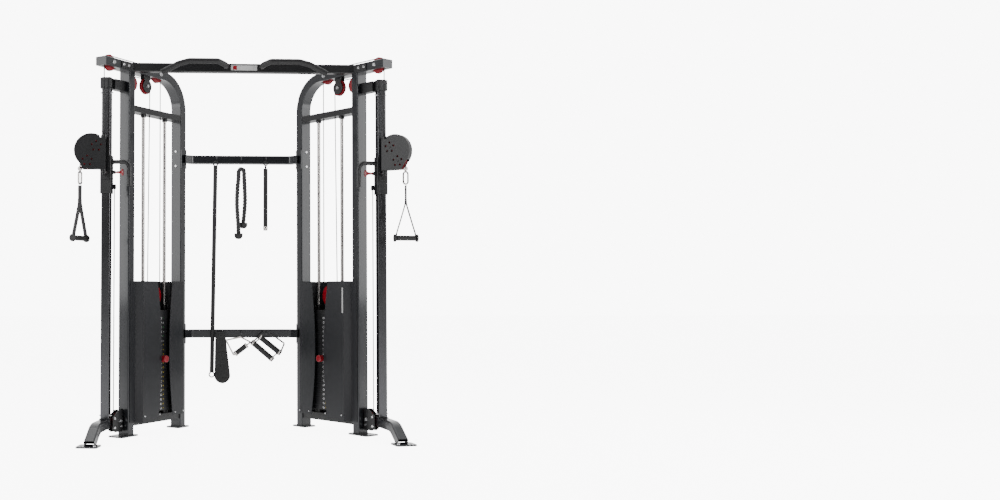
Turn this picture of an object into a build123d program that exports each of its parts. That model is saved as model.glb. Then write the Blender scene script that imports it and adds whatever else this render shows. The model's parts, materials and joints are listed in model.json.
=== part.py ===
"""Functional trainer: two angled towers with weight stacks, swivelling cable heads and a pull-up beam.

Millimetres, +Z up, origin on the floor under the centre of the machine, -Y towards the user.
The left tower is drawn in its own frame (s along the tower, t outwards, z up) and mirrored in X.
"""
import os
from math import asin, atan2, cos, degrees, hypot, radians, sin, sqrt

from build123d import *

os.makedirs("parts", exist_ok=True)

# ---------------------------------------------------------------- driving dimensions
FRONT_X = 666.5          # front upright centre from the middle plane
FRONT_Y = 17.2           # front upright centre from the middle of the depth
TOWER_TURN = 36.0        # tower direction from straight back, towards the middle
SPACING = 485.0          # front to rear upright centres
TUBE_S, TUBE_T = 50.0, 75.0
WALL = 3.0
BEAM_TOP = 2120.0
BEND_R = 185.0           # centre line radius of the arch
WING_END = -228.5        # s of the wing's end face
PLATE = 8.0              # floor plates

PULLEY_R = 46.5          # outer radius of the guide pulleys
CHEEK_R = 38.0           # round cheeks beside the middle pulleys
CABLE_R = 3.0
GROOVE = 41.0            # radius of the cable's centre line on a guide pulley
STACK_GROOVE = 57.5      # the same on the travelling pulley
AXLE_R = 6.0
RUN_CLEAR = 0.08         # radial running clearance of an axle

WING_S, TOP_Z = -159.0, 2095.0
REAR_S = 262.5
MID_S, MID_Z = 163.0, 2013.0
INNER_S = 35.0
BASE_S, BASE_T, BASE_Z = -47.0, 18.0, 90.0

STACK_S = 246.0
ROD_GAP, ROD_R = 201.0, 10.0
ROD_FOOT, ROD_TOP = 90.0, 1872.0
STACK_FLOOR, PITCH, PLATE_H = 124.0, 26.1, 25.4
PLATE_W, PLATE_D = 320.0, 115.0
PLATES, SELECTED = 21, 11          # the pin is in plate number 11, counted from 0 at the floor
STEM_R = 11.0
PIN_R = 4.75
TRAVEL_Z = 790.0         # centre of the travelling pulley

COLUMN_SPLAY = 10.0      # how far the column faces outwards
COLUMN = 50.0
COLUMN_FOOT, COLUMN_TOP = 112.0, 2016.0
HOLE_PITCH = 82.5
SLEEVE = 62.0
SLEEVE_Z = (1363.0, 1575.0)
PIN_DRAWN = 5.0  # the pull pin stands this far out, clear of the column, so that the sleeve is free
PIN_Z, LEVER_Z = 1482.0, 1540.0
LEVER_REACH, LEVER_END = 130.0, 1404.0
AXIS_AHEAD = 62.0        # swivel axis in front of the column's centre

HEAD_C, HEAD_CZ, HEAD_R = 69.0, 1597.0, 95.0
HEAD_FLAT = 1492.0
HEAD_HALF = 19.0
HEAD_SKIN = 4.0
HEAD_UPPER = (41.0, 1620.0)
HEAD_LOWER = (90.0, 1540.0)
HANG = HEAD_LOWER[0] + GROOVE      # the handle's cable line from the swivel axis
BALL_Z = 1496.0
HEAD_TURN = {"left": 180.0, "right": -38.0}
GRIP_TURN = {"left": 60.0, "right": 5.0}

BAR_Y = FRONT_Y + 408.0  # middle of the rear crossbars
BAR_Z = (1617.0, 561.0)
HOOK_X = (-150.0, 0.0, 150.0)
HOOK_Y = BAR_Y - 46.0    # where the accessories hang


# ---------------------------------------------------------------- frames
S_DIR = Vector(sin(radians(TOWER_TURN)), cos(radians(TOWER_TURN)), 0)
UP = Vector(0, 0, 1)
tower = Plane(origin=(-FRONT_X, FRONT_Y, 0), x_dir=S_DIR, z_dir=UP)
COLUMN_IN = Vector(cos(radians(COLUMN_SPLAY)), -sin(radians(COLUMN_SPLAY)), 0)
AXIS = tower.from_local_coords((WING_S - GROOVE, 0, 0))
column = Plane(origin=AXIS + COLUMN_IN.rotate(Axis.Z, 90) * AXIS_AHEAD, x_dir=COLUMN_IN, z_dir=UP)


def tower_at(s, t, z):
    """Horizontal plane at a point of the left tower, x along the tower."""
    return Plane(origin=tower.from_local_coords((s, t, z)), x_dir=S_DIR, z_dir=UP)


def tower_side(t):
    """Upright plane of the left tower: x along the tower, y up, normal to the inner side."""
    return Plane(origin=tower.from_local_coords((0, t, 0)), x_dir=S_DIR, z_dir=S_DIR.cross(UP))


def column_side(x):
    """Upright plane through the column: x to the front, y up."""
    front = Vector(0, 0, 0) - column.y_dir
    return Plane(origin=column.from_local_coords((x, 0, 0)), x_dir=front, z_dir=front.cross(UP))


def head_frame(side):
    """Frame of one swivel head: x outwards from its upright axis."""
    sign = 1 if side == "left" else -1
    turn = radians(HEAD_TURN[side])
    return Plane(origin=(sign * AXIS.X, AXIS.Y, 0), x_dir=(cos(turn), sin(turn), 0), z_dir=UP)


def head_side(side, t=0.0):
    """Upright plane of a head: x outwards, y up."""
    frame = head_frame(side)
    return Plane(origin=frame.from_local_coords((0, t, 0)), x_dir=frame.x_dir, z_dir=frame.x_dir.cross(UP))


def handle_frame(side):
    """Frame of one hanging handle: origin on its cable line, x along the grip."""
    origin = head_frame(side).from_local_coords((HANG, 0, 0))
    turn = radians(GRIP_TURN[side])
    return Plane(origin=origin, x_dir=(cos(turn), sin(turn), 0), z_dir=UP)


def save(builder, name):
    """Label one finished sub-part and write its STEP file."""
    builder.part.label = name
    export_step(builder.part, f"parts/{name}.step")


def save_pair(builder, name):
    """Write a left-hand sub-part and its mirror image."""
    save(builder, f"left_{name}")
    with BuildPart() as other:
        mirror(builder.part, about=Plane.YZ)
    save(other, f"right_{name}")


def rod(start, end, radius):
    """Add a round bar between two points to the current part."""
    start, end = Vector(*start), Vector(*end)
    with BuildSketch(Plane(origin=start, z_dir=end - start)) as section:
        Circle(radius)
    extrude(to_extrude=section.sketch, amount=(end - start).length)


def bent_bar(points, radii, radius, plane=Plane.XY):
    """Add a round bar along straight runs joined by tangent arcs."""
    with BuildLine(plane) as route:
        FilletPolyline(*points, radius=radii)
    with BuildSketch(Plane(origin=route.line @ 0, z_dir=route.line % 0)) as section:
        Circle(radius)
    sweep(sections=section.sketch, path=route.line)


def square_tube(width, depth, wall=WALL, corner=5.0):
    """Hollow rounded rectangle in the current sketch."""
    RectangleRounded(width, depth, corner)
    RectangleRounded(width - 2 * wall, depth - 2 * wall, corner - wall, mode=Mode.SUBTRACT)


def pulley(centre_plane, groove=GROOVE):
    """Add a pulley; the plane's origin is its centre and the plane's normal its axle."""
    rim = groove + PULLEY_R - GROOVE
    root = groove - CABLE_R - 0.8
    bore = AXLE_R + RUN_CLEAR
    half_plane = Plane(origin=centre_plane.origin, x_dir=centre_plane.x_dir, z_dir=-centre_plane.y_dir)
    with BuildSketch(half_plane) as section:
        with BuildLine():
            Polyline(
                (bore, -9), (17, -9), (17, -7), (rim, -7), (rim, -5.6), (groove, -3.7), (root, -3.4),
                (root, 3.4), (groove, 3.7), (rim, 5.6), (rim, 7), (17, 7), (17, 9), (bore, 9), close=True,
            )
        make_face()
    revolve(profiles=section.sketch, axis=Axis(centre_plane.origin, centre_plane.z_dir))


def side_pulley_plane(s, z, t=0.0):
    """Plane of a pulley that turns in the left tower's upright plane."""
    side = tower_side(t)
    return Plane(origin=side.from_local_coords((s, z, 0)), x_dir=side.x_dir, z_dir=side.z_dir)


# ---------------------------------------------------------------- fixed frame
tube_mid = BEAM_TOP - TUBE_S / 2
arch_bottom = BEAM_TOP - TUBE_S

with BuildPart() as arch_frames:
    with BuildLine(tower_side(0)) as arch_path:
        FilletPolyline((SPACING, PLATE), (SPACING, tube_mid), (WING_END + WALL, tube_mid), radius=[BEND_R])
    with BuildSketch(tower_at(SPACING, 0, PLATE)):
        square_tube(TUBE_S, TUBE_T)
    sweep(path=arch_path.line)
    with BuildSketch(Plane(origin=tower.from_local_coords((WING_END, 0, tube_mid)), x_dir=UP, z_dir=S_DIR)):
        RectangleRounded(TUBE_S, TUBE_T, 5)
    extrude(amount=WALL)
    with BuildSketch(tower_at(SPACING, 0, 0)):
        RectangleRounded(112, 96, 12)
    extrude(amount=PLATE)
    for slot_s in (WING_S, REAR_S):
        with BuildSketch(tower_at(slot_s, 0, arch_bottom - 20)):
            SlotOverall(2 * PULLEY_R + 18, 24)
        extrude(amount=TUBE_S + 40, mode=Mode.SUBTRACT)
        with BuildSketch(side_pulley_plane(slot_s, TOP_Z)):
            Circle(AXLE_R)
        extrude(amount=TUBE_T, both=True, mode=Mode.SUBTRACT)
    mirror(about=Plane.YZ)
save(arch_frames, "arch_frames")

with BuildPart() as front_uprights:
    with BuildSketch(tower_at(0, 0, PLATE)):
        square_tube(TUBE_S, TUBE_T)
    extrude(amount=arch_bottom - PLATE)
    with BuildSketch(tower_at(-22, 0, 0)):
        RectangleRounded(150, 104, 14)
    extrude(amount=PLATE)
    # slots for the cable's inner top pulley and for the base pulley
    with BuildSketch(tower_at(INNER_S, 0, MID_Z - PULLEY_R - 8)):
        Rectangle(2 * PULLEY_R + 12, 24)
    extrude(amount=2 * PULLEY_R + 14, mode=Mode.SUBTRACT)
    with BuildSketch(tower_at(BASE_S, BASE_T, BASE_Z - PULLEY_R - 8)):
        Rectangle(2 * PULLEY_R + 12, 24)
    extrude(amount=2 * PULLEY_R + 16, mode=Mode.SUBTRACT)
    mirror(about=Plane.YZ)
save(front_uprights, "front_uprights")

# the beam meets the inner faces of the two top runs
beam_half = FRONT_X - TUBE_T / 2 / cos(radians(TOWER_TURN))
BEAM_Y = FRONT_Y
with BuildPart() as main_beam:
    with BuildSketch(Plane(origin=(0, BEAM_Y, tube_mid), x_dir=(0, 1, 0), z_dir=(1, 0, 0))):
        square_tube(TUBE_S, TUBE_S)
    extrude(amount=FRONT_X, both=True)
    for sign in (-1, 1):
        run_normal = Vector(sign * S_DIR.Y, S_DIR.X, 0)
        cut_origin = Vector(sign * FRONT_X, FRONT_Y, tube_mid) - run_normal * (TUBE_T / 2)
        split(bisect_by=Plane(origin=cut_origin, z_dir=run_normal), keep=Keep.BOTTOM)
    # bolt plates on the inner faces of the wings
    for sign in (-1, 1):
        run_normal = Vector(sign * S_DIR.Y, S_DIR.X, 0)
        face = Vector(sign * FRONT_X, FRONT_Y, tube_mid) - run_normal * (TUBE_T / 2)
        along = Vector(-sign * S_DIR.X, S_DIR.Y, 0)
        with BuildSketch(Plane(origin=face - along * 22, x_dir=along, z_dir=-run_normal)):
            RectangleRounded(150, 44, 4)
        extrude(amount=5)
save(main_beam, "main_beam")

with BuildPart() as pullup_grips:
    GRIP_R = 16.5
    grip_y = BEAM_Y - 105
    points = [
        (-104, BEAM_Y - TUBE_S / 2, 2100), (-104, BEAM_Y - 76, 2100), (-150, grip_y, 2116),
        (-312, grip_y, 2116), (-372, grip_y + 2, 2100), (-468, grip_y + 8, 2050),
    ]
    bent_bar(points, [26, 26, 60, 60], GRIP_R)
    mirror(about=Plane.YZ)
save(pullup_grips, "pullup_grips")

with BuildPart() as column_posts:
    with BuildSketch(column.offset(COLUMN_FOOT)):
        square_tube(COLUMN, COLUMN, wall=3, corner=6)
    extrude(amount=COLUMN_TOP - COLUMN_FOOT)
    hole_count = 21
    for index in range(hole_count):
        hole_z = PIN_Z + (index - 15) * HOLE_PITCH
        with BuildSketch(Plane(origin=column.from_local_coords((0, 0, hole_z)), z_dir=COLUMN_IN)):
            Circle(5.6)
        extrude(amount=COLUMN, mode=Mode.SUBTRACT)
    mirror(about=Plane.YZ)
save(column_posts, "column_posts")

TOP_CLAMP = (1953.0, 2012.0)
with BuildPart() as column_brackets:
    # top clamp round the column with its web to the front upright
    with BuildSketch(column.offset(TOP_CLAMP[0])):
        RectangleRounded(COLUMN + 14, COLUMN + 14, 6)
    extrude(amount=TOP_CLAMP[1] - TOP_CLAMP[0])
    with BuildSketch(tower_at(-70, 14, TOP_CLAMP[0])):
        Rectangle(90, 44)
    extrude(amount=TOP_CLAMP[1] - TOP_CLAMP[0])
    with BuildSketch(column.offset(TOP_CLAMP[0] - 5)):
        Rectangle(COLUMN, COLUMN)
    extrude(amount=80, mode=Mode.SUBTRACT)
    # the web keeps clear of the column's cable behind the sleeve
    with BuildSketch(tower_at(BASE_S - GROOVE, BASE_T, TOP_CLAMP[0] - 5)):
        Circle(7)
    extrude(amount=80, mode=Mode.SUBTRACT)
    # two cheek plates join the column's foot to the front upright
    for cheek_t in (BASE_T - 18, BASE_T + 14):
        with BuildSketch(tower_side(cheek_t)):
            with BuildLine():
                Polyline((-30, 30), (-30, 150), (-62, 150), (-112, 112), (-112, 44), (-92, 30), close=True)
            make_face()
        extrude(amount=-5)
    with BuildSketch(side_pulley_plane(BASE_S, BASE_Z, -20)):
        Circle(AXLE_R)
    extrude(amount=-80, mode=Mode.SUBTRACT)
    mirror(about=Plane.YZ)
save(column_brackets, "column_brackets")

LEG_Z = 82.0
LEG_W, LEG_H = 58.0, 54.0
PAD_AHEAD = 343.0
with BuildPart() as front_legs:
    with BuildLine(column_side(0)) as leg_path:
        FilletPolyline((-28, LEG_Z), (205, LEG_Z), (PAD_AHEAD - 22, PLATE), radius=[120])
    with BuildSketch(Plane(origin=leg_path.line @ 0, x_dir=COLUMN_IN, z_dir=leg_path.line % 0)):
        square_tube(LEG_W, LEG_H, corner=8)
    sweep(path=leg_path.line)
    with BuildSketch(column.offset(PLATE - 60)):
        with Locations((0, -PAD_AHEAD + 20)):
            Rectangle(300, 300)
    extrude(amount=60, mode=Mode.SUBTRACT)
    with BuildSketch(column):
        with Locations((0, -PAD_AHEAD + 2)):
            RectangleRounded(116, 104, 14)
    extrude(amount=PLATE)
    # seat of the column on the leg
    with BuildSketch(column.offset(LEG_Z + LEG_H / 2 - 3)):
        Rectangle(COLUMN + 8, COLUMN + 8)
    extrude(amount=COLUMN_FOOT - LEG_Z - LEG_H / 2 + 3)
    mirror(about=Plane.YZ)
save(front_legs, "front_legs")

HOLDER_Z = (1844.0, 1879.0)
RAIL_Z = (56.0, 100.0)
INSIDE_S = (TUBE_S / 2, SPACING - TUBE_S / 2)
span_mid = sum(INSIDE_S) / 2
span = INSIDE_S[1] - INSIDE_S[0]
rod_places = [STACK_S - ROD_GAP / 2, STACK_S + ROD_GAP / 2]
with BuildPart() as rod_holders:
    for z_low, z_high, width in ((*HOLDER_Z, 70.0), (*RAIL_Z, 60.0)):
        with BuildSketch(tower_at(span_mid, 0, z_low)):
            Rectangle(span, width)
        extrude(amount=z_high - z_low)
        with BuildSketch(tower_at(span_mid, 0, z_low + WALL)):
            Rectangle(span + 10, width - 2 * WALL)
        extrude(amount=z_high - z_low - 2 * WALL, mode=Mode.SUBTRACT)
    for rod_s in rod_places:
        # collars under the holder, and stops under the stack
        with BuildSketch(tower_at(rod_s, 0, HOLDER_Z[0] - 16)):
            Circle(16)
        extrude(amount=16)
        with BuildSketch(tower_at(rod_s, 0, RAIL_Z[1])):
            Circle(24)
        extrude(amount=STACK_FLOOR - RAIL_Z[1] - 0.6)
        with BuildSketch(tower_at(rod_s, 0, RAIL_Z[0] + WALL + 2)):
            Circle(ROD_R + 0.05)
        extrude(amount=HOLDER_Z[1] + 10, mode=Mode.SUBTRACT)
    # holes for the stack's two cables
    for cable_s in (202.0, REAR_S + GROOVE):
        with BuildSketch(tower_at(cable_s, 0, HOLDER_Z[0] - 5)):
            Circle(8)
        extrude(amount=60, mode=Mode.SUBTRACT)
    mirror(about=Plane.YZ)
save(rod_holders, "rod_holders")

with BuildPart() as guide_rods:
    for rod_s in rod_places:
        with BuildSketch(tower_at(rod_s, 0, RAIL_Z[0] + WALL + 2)):
            Circle(ROD_R)
        extrude(amount=ROD_TOP - RAIL_Z[0])
    mirror(about=Plane.YZ)
save(guide_rods, "guide_rods")


# ---------------------------------------------------------------- shrouds
SHROUD_Z = (75.0, 875.0)
SHEET = 3.0
SHROUD_T = 80.0


with BuildPart() as shrouds:
    front_plan = [(-12, -39.4), (30, -39.4), (52, -SHROUD_T), (226, -SHROUD_T)]
    rear_plan = [(286, -SHROUD_T), (430, -SHROUD_T), (452, -42)]
    outer_plan = [(-12, 39.4), (30, 39.4), (52, 72), (440, 72), (458, 39.4), (497, 39.4)]
    for plan, low in ((front_plan, 75.0), (rear_plan, 92.0), (outer_plan, 80.0)):
        for first, second in zip(plan[:-1], plan[1:]):
            run = Vector(*second) - Vector(*first)
            middle = (Vector(*first) + Vector(*second)) / 2
            turn = degrees(atan2(run.Y, run.X))
            with BuildSketch(tower_at(0, 0, low)):
                with Locations(Location((middle.X, middle.Y, 0), (0, 0, turn))):
                    SlotOverall(run.length + SHEET, SHEET)
            extrude(amount=SHROUD_Z[1] - low)
    # hourglass slot over the plates
    with BuildSketch(tower_side(-SHROUD_T + 25)):
        with BuildLine():
            Line((182, 880), (326, 880))
            ThreePointArc((326, 880), (294, 520), (332, 70))
            Line((332, 70), (190, 70))
            ThreePointArc((190, 70), (221, 500), (182, 880))
        make_face()
    extrude(amount=60, mode=Mode.SUBTRACT)
    mirror(about=Plane.YZ)
save(shrouds, "shrouds")


# ---------------------------------------------------------------- rear crossbars and their hooks
def crossbar(z_mid):
    """One bent square bar with end plates and three hooks."""
    end = tower.from_local_coords((SPACING - 2, -TUBE_T / 2, 0))
    with BuildLine(Plane.XY.offset(z_mid)) as route:
        FilletPolyline((end.X, end.Y), (end.X + 52, BAR_Y), (-end.X - 52, BAR_Y), (-end.X, end.Y), radius=60)
    with BuildSketch(Plane(origin=route.line @ 0, x_dir=UP, z_dir=route.line % 0)) as section:
        square_tube(TUBE_S, 50)
    sweep(sections=section.sketch, path=route.line)
    for sign in (-1, 1):
        normal = Vector(sign * S_DIR.Y, S_DIR.X, 0)
        face = Vector(sign * -end.X, end.Y, z_mid)
        split(bisect_by=Plane(origin=face, z_dir=normal), keep=Keep.BOTTOM)
        along = Vector(-sign * S_DIR.X, S_DIR.Y, 0)
        with BuildSketch(Plane(origin=face, x_dir=along, z_dir=-normal)) as end_plate:
            RectangleRounded(48, 118, 4)
        extrude(to_extrude=end_plate.sketch, amount=6)
    for hook_x in HOOK_X:
        bent_bar(
            [(hook_x, BAR_Y - 24, z_mid), (hook_x, BAR_Y - 56, z_mid), (hook_x, BAR_Y - 56, z_mid + 20)],
            [9], 4.0,
        )


with BuildPart() as crossbars:
    for bar_z in BAR_Z:
        crossbar(bar_z)
save(crossbars, "crossbars")


# ---------------------------------------------------------------- weight stacks
def weight_plate(level):
    """One plate with its rod holes and the centre hole for the stem."""
    with BuildSketch(tower_at(STACK_S, 0, STACK_FLOOR + level * PITCH)) as section:
        RectangleRounded(PLATE_W, PLATE_D, 6)
        with Locations((-ROD_GAP / 2, 0), (ROD_GAP / 2, 0)):
            Circle(ROD_R + 2, mode=Mode.SUBTRACT)
        Circle(STEM_R + 2, mode=Mode.SUBTRACT)
    extrude(to_extrude=section.sketch, amount=PLATE_H)


with BuildPart() as resting_plates:
    for level in range(SELECTED):
        weight_plate(level)
    mirror(about=Plane.YZ)
save(resting_plates, "resting_plates")

stack_top = STACK_FLOOR + PLATES * PITCH
pin_z = STACK_FLOOR + (SELECTED + 0.5) * PITCH - 0.35
with BuildPart() as lifted_stack:
    for level in range(SELECTED, PLATES):
        weight_plate(level)
    # head plate, stem and pulley yoke
    with BuildSketch(tower_at(STACK_S, 0, stack_top)):
        RectangleRounded(PLATE_W, PLATE_D, 6)
        with Locations((-ROD_GAP / 2, 0), (ROD_GAP / 2, 0)):
            Circle(ROD_R + 2, mode=Mode.SUBTRACT)
    extrude(amount=34)
    for rod_s in rod_places:
        with BuildSketch(tower_at(rod_s, 0, stack_top + 34)):
            Circle(22)
            Circle(ROD_R + 2, mode=Mode.SUBTRACT)
        extrude(amount=30)
    with BuildSketch(tower_at(STACK_S, 0, STACK_FLOOR + 14)):
        Circle(STEM_R)
    extrude(amount=stack_top - STACK_FLOOR - 14)
    for cheek_t in (-16.0, 12.0):
        with BuildSketch(side_pulley_plane(STACK_S, TRAVEL_Z, cheek_t)):
            Circle(20)
            with Locations((0, (stack_top + 30 - TRAVEL_Z) / 2)):
                Rectangle(40, TRAVEL_Z - stack_top - 30)
        extrude(amount=-4)
    with BuildSketch(side_pulley_plane(STACK_S, TRAVEL_Z, -18)):
        Circle(AXLE_R)
    extrude(amount=-36)
    # channel of the selector pin
    with BuildSketch(side_pulley_plane(STACK_S, pin_z, 30)):
        Circle(PIN_R + 0.6)
    extrude(amount=120, mode=Mode.SUBTRACT)
save_pair(lifted_stack, "lifted_stack")

with BuildPart() as selector_pin:
    with BuildSketch(side_pulley_plane(STACK_S, pin_z, 20)):
        Circle(PIN_R)
    extrude(amount=20 + PLATE_D / 2 + 12)
    with BuildSketch(side_pulley_plane(STACK_S, pin_z, -PLATE_D / 2 - 10)):
        Circle(20)
    extrude(amount=34)
    fillet(selector_pin.edges().filter_by(GeomType.CIRCLE).filter_by(lambda e: e.radius > 19), radius=5)
save_pair(selector_pin, "selector_pin")

with BuildPart() as stack_pulley:
    pulley(side_pulley_plane(STACK_S, TRAVEL_Z), STACK_GROOVE)
save_pair(stack_pulley, "stack_pulley")


# ---------------------------------------------------------------- guide pulleys of the towers
for pulley_name, pulley_s, pulley_z, pulley_t in (
    ("wing_pulley", WING_S, TOP_Z, 0.0),
    ("top_rear_pulley", REAR_S, TOP_Z, 0.0),
    ("top_mid_pulley", MID_S, MID_Z, 0.0),
    ("base_pulley", BASE_S, BASE_Z, BASE_T),
):
    with BuildPart() as guide_pulley:
        pulley(side_pulley_plane(pulley_s, pulley_z, pulley_t))
    save_pair(guide_pulley, pulley_name)

with BuildPart() as inner_pulleys:
    pulley(side_pulley_plane(INNER_S, MID_Z))
    mirror(about=Plane.YZ)
save(inner_pulleys, "inner_pulleys")

with BuildPart() as pulley_brackets:
    for cheek_t in (-12.5, 16.5):
        with BuildSketch(tower_side(cheek_t)):
            with BuildLine():
                Polyline((MID_S - 26, arch_bottom), (MID_S + 26, arch_bottom), (MID_S + 19, MID_Z),
                         (MID_S - 19, MID_Z), close=True)
            make_face()
            with Locations((MID_S, MID_Z)):
                Circle(CHEEK_R)
            with Locations((MID_S, MID_Z)):
                Circle(AXLE_R, mode=Mode.SUBTRACT)
        extrude(amount=4)
    mirror(about=Plane.YZ)
save(pulley_brackets, "pulley_brackets")


def bolt(plane, head_r, head_h, shank=0.0):
    """Domed bolt head standing on a plane, with an optional shank behind it."""
    with BuildSketch(plane) as head:
        Circle(head_r)
    extrude(to_extrude=head.sketch, amount=head_h, taper=18)
    if shank:
        with BuildSketch(plane) as body:
            Circle(AXLE_R)
        extrude(to_extrude=body.sketch, amount=-shank)


with BuildPart() as frame_bolts:
    inner = S_DIR.cross(UP)
    # pulley axles through the tube, the brackets, the upright and the cheek plates
    for axle_s, axle_z, axle_t, reach in (
        (WING_S, TOP_Z, 0.0, TUBE_T / 2), (REAR_S, TOP_Z, 0.0, TUBE_T / 2), (MID_S, MID_Z, 0.0, 16.5),
        (BASE_S, BASE_Z, BASE_T - 2, 16.9),
    ):
        face = side_pulley_plane(axle_s, axle_z, axle_t - reach)
        bolt(face, 11, 6, 2 * reach + 5)
    # two bolts on the wing's plate beside the beam
    for bolt_s in (-38.0, -80.0):
        bolt(side_pulley_plane(bolt_s, tube_mid, -TUBE_T / 2 - 5), 8, 5)
    # crossbar bolts on the rear upright's front face
    for bar_z in BAR_Z:
        for lift in (-42.0, 46.0):
            place = tower.from_local_coords((SPACING - TUBE_S / 2, 0, bar_z + lift))
            bolt(Plane(origin=place, x_dir=UP, z_dir=-S_DIR), 8, 5)
    # cheek plate bolts at the column's foot
    for bolt_s, bolt_z in ((-98.0, 108.0), (-98.0, 56.0), (-40.0, 60.0)):
        bolt(side_pulley_plane(bolt_s, bolt_z, BASE_T - 18), 8, 5)
    # stop bolts across the column
    for stop_z in (1931.0, 128.0):
        stop = column.from_local_coords((-COLUMN / 2, 0, stop_z))
        bolt(Plane(origin=stop, x_dir=UP, z_dir=-COLUMN_IN), 6, 12)
        stop = column.from_local_coords((COLUMN / 2, 0, stop_z))
        bolt(Plane(origin=stop, x_dir=UP, z_dir=COLUMN_IN), 6, 12)
    # pad bolts
    for pad_x in (-30.0, 30.0):
        pad = column.from_local_coords((pad_x + (8 if pad_x > 0 else -8), -PAD_AHEAD - 18, PLATE))
        bolt(Plane(origin=pad, x_dir=COLUMN_IN, z_dir=UP), 8, 5)
    # shroud screws
    for screw_s in (70.0, 205.0, 350.0, 430.0):
        bolt(side_pulley_plane(screw_s, 108, -SHROUD_T - SHEET / 2), 5, 3)
    mirror(about=Plane.YZ)
save(frame_bolts, "frame_bolts")


# ---------------------------------------------------------------- swivel carriages
with BuildPart() as carriage:
    with BuildSketch(column.offset(SLEEVE_Z[0])):
        RectangleRounded(SLEEVE, SLEEVE, 5)
    extrude(amount=SLEEVE_Z[1] - SLEEVE_Z[0])
    # back plate and the two pivot arms of the head
    front_face = -SLEEVE / 2
    with BuildSketch(column.offset(1440)):
        with Locations((0, front_face - 2.5)):
            Rectangle(44, 5)
    extrude(amount=1681 - 1440)
    for arm_z in (1472.0, 1673.0):
        with BuildSketch(column.offset(arm_z)):
            with Locations((0, (front_face - AXIS_AHEAD) / 2)):
                Rectangle(36, AXIS_AHEAD + front_face)
            with Locations((0, -AXIS_AHEAD)):
                Circle(18)
        extrude(amount=8)
    # gusset behind the raised back plate
    with BuildSketch(column_side(-3)):
        with BuildLine():
            Polyline((-front_face, 1574), (-front_face, 1681), (-front_face - 6, 1681),
                     (-front_face - 56, 1574),
                     close=True)
        make_face()
    extrude(amount=-6)
    # lug for the cable's lower end, behind the sleeve
    lug = column.to_local_coords(tower.from_local_coords((BASE_S - GROOVE, BASE_T, 0)))
    with BuildSketch(column.offset(1392)):
        with Locations((lug.X - 3, (SLEEVE / 2 + lug.Y + 8) / 2)):
            Rectangle(22, lug.Y + 8 - SLEEVE / 2 + 2)
    extrude(amount=26)
    # housing of the pull pin and root of the lever
    for boss_z, boss_r, reach in ((PIN_Z, 10.0, 20.0), (LEVER_Z, 13.0, 10.0)):
        boss_plane = Plane(
            origin=column.from_local_coords((SLEEVE / 2 - 1, 0, boss_z)), z_dir=COLUMN_IN
        )
        with BuildSketch(boss_plane):
            Circle(boss_r)
        extrude(amount=reach)
    with BuildLine() as lever_path:
        FilletPolyline(
            column.from_local_coords((SLEEVE / 2 + 4, 0, LEVER_Z)),
            column.from_local_coords((LEVER_REACH, 0, LEVER_Z)),
            column.from_local_coords((LEVER_REACH, 0, LEVER_END)),
            radius=[38],
        )
    with BuildSketch(Plane(origin=lever_path.line @ 0, z_dir=lever_path.line % 0)):
        Circle(12)
    sweep(path=lever_path.line)
    # bores: column, pull pin, the two pivots
    with BuildSketch(column.offset(SLEEVE_Z[0] - 5)):
        RectangleRounded(COLUMN + 1.2, COLUMN + 1.2, 6)
    extrude(amount=SLEEVE_Z[1] - SLEEVE_Z[0] + 4.9, mode=Mode.SUBTRACT)
    with BuildSketch(column.offset(SLEEVE_Z[1] - 1)):
        Rectangle(COLUMN + 1.2, COLUMN + 1.2)
    extrude(amount=130, mode=Mode.SUBTRACT)
    with BuildSketch(Plane(origin=column.from_local_coords((20, 0, PIN_Z)), z_dir=COLUMN_IN)):
        Circle(5 + RUN_CLEAR)
    extrude(amount=60, mode=Mode.SUBTRACT)
    with BuildSketch(column.offset(1460)):
        with Locations((0, -AXIS_AHEAD)):
            Circle(10 + RUN_CLEAR)
    extrude(amount=40, mode=Mode.SUBTRACT)
    with BuildSketch(column.offset(1660)):
        with Locations((0, -AXIS_AHEAD)):
            Circle(14 + RUN_CLEAR)
    extrude(amount=40, mode=Mode.SUBTRACT)
save_pair(carriage, "carriage")

with BuildPart() as pull_pin:
    with BuildSketch(Plane(origin=column.from_local_coords((21 + PIN_DRAWN, 0, PIN_Z)), z_dir=COLUMN_IN)):
        Circle(5)
    extrude(amount=40)
    # flared knob, turned about the pin
    knob_plane = Plane(
        origin=column.from_local_coords((PIN_DRAWN, 0, PIN_Z)), x_dir=COLUMN_IN, z_dir=column.y_dir
    )
    with BuildSketch(knob_plane):
        with BuildLine():
            Polyline((52, 0), (52, 7), (66, 7.5), (76, 11),
                     (83, 19.5), (88, 19.5), (91, 17), (92, 0), close=True)
        make_face()
    revolve(axis=Axis(knob_plane.origin, COLUMN_IN))
save_pair(pull_pin, "pull_pin")


# ---------------------------------------------------------------- swivel heads and handles
def head_outline(side, inset):
    """Outline of a head plate: a disc with a flat foot, a chamfered corner and a flat back."""
    radius = HEAD_R - inset
    foot = HEAD_FLAT + inset
    back = -10 + inset
    shoulder = 1669 - inset
    step = 24
    top_z = HEAD_CZ + sqrt(radius ** 2 - (step - HEAD_C) ** 2)
    chamfer_z = 1530.0
    chamfer_x = HEAD_C + sqrt(radius ** 2 - (chamfer_z - HEAD_CZ) ** 2)
    with BuildSketch(head_side(side)) as outline:
        with BuildLine():
            Polyline((chamfer_x, chamfer_z), (chamfer_x - 22, foot), (back, foot), (back, shoulder),
                     (step, shoulder), (step, top_z))
            ThreePointArc((step, top_z), (HEAD_C + radius, HEAD_CZ), (chamfer_x, chamfer_z))
        make_face()
    return outline.sketch


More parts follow.
